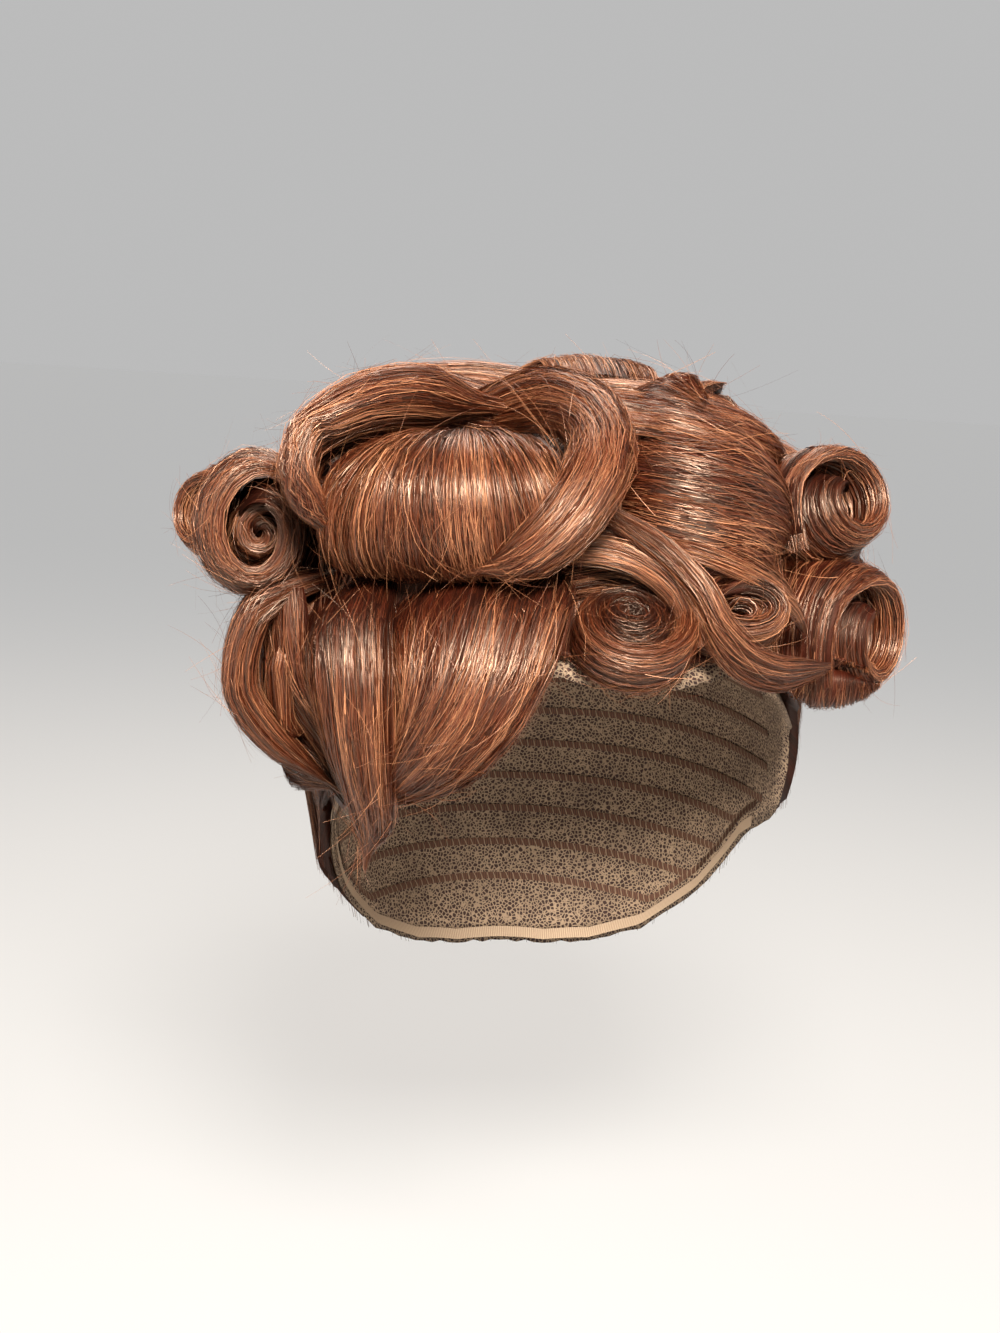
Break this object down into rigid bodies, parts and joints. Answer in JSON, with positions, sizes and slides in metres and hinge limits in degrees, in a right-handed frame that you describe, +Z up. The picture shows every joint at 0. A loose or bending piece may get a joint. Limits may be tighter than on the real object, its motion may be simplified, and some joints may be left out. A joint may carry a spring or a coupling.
{
  "type": "updo wig",
  "caption": "Pinned-up costume wig of rolled barrel curls and combed locks on a thin lace cap, open below for the head.",
  "frame": {"origin": "inside top of the cap, where it rests on the crown of the head", "axes": "+Z up, the wearer faces -Y, the wearer's left is +X"},
  "size_m": [0.2432, 0.2371, 0.2305],
  "materials": {
    "hair": "satin",
    "lace": "matte"
  },
  "bodies": {
    "root": {"lace_cap": "lace", "under_hair": "hair", "roll_loop_left": "hair", "front_roll": "hair", "roll_loop_right": "hair", "crown_lock": "hair", "left_swath": "hair", "pin_curl": "hair", "front_loop": "hair", "left_top_curl": "hair", "left_lower_curl": "hair", "left_under_curl": "hair", "right_side_curl": "hair", "right_back_curl": "hair", "right_temple_loop": "hair", "right_sideburn": "hair", "right_swoop": "hair", "top_wave": "hair", "crown_back_lock": "hair", "crown_curl": "hair", "left_back_curl": "hair", "left_back_lock": "hair", "upper_curl_right": "hair", "upper_curl_left": "hair", "left_rear_curl": "hair", "back_curl_middle": "hair", "back_curl_left": "hair", "back_curl_right": "hair", "right_side_panel_1": "hair", "right_side_panel_2": "hair", "nape_panel_1": "hair", "nape_panel_2": "hair", "nape_panel_3": "hair", "nape_panel_4": "hair", "nape_panel_5": "hair", "left_side_panel": "hair"}
  },
  "joints": []
}
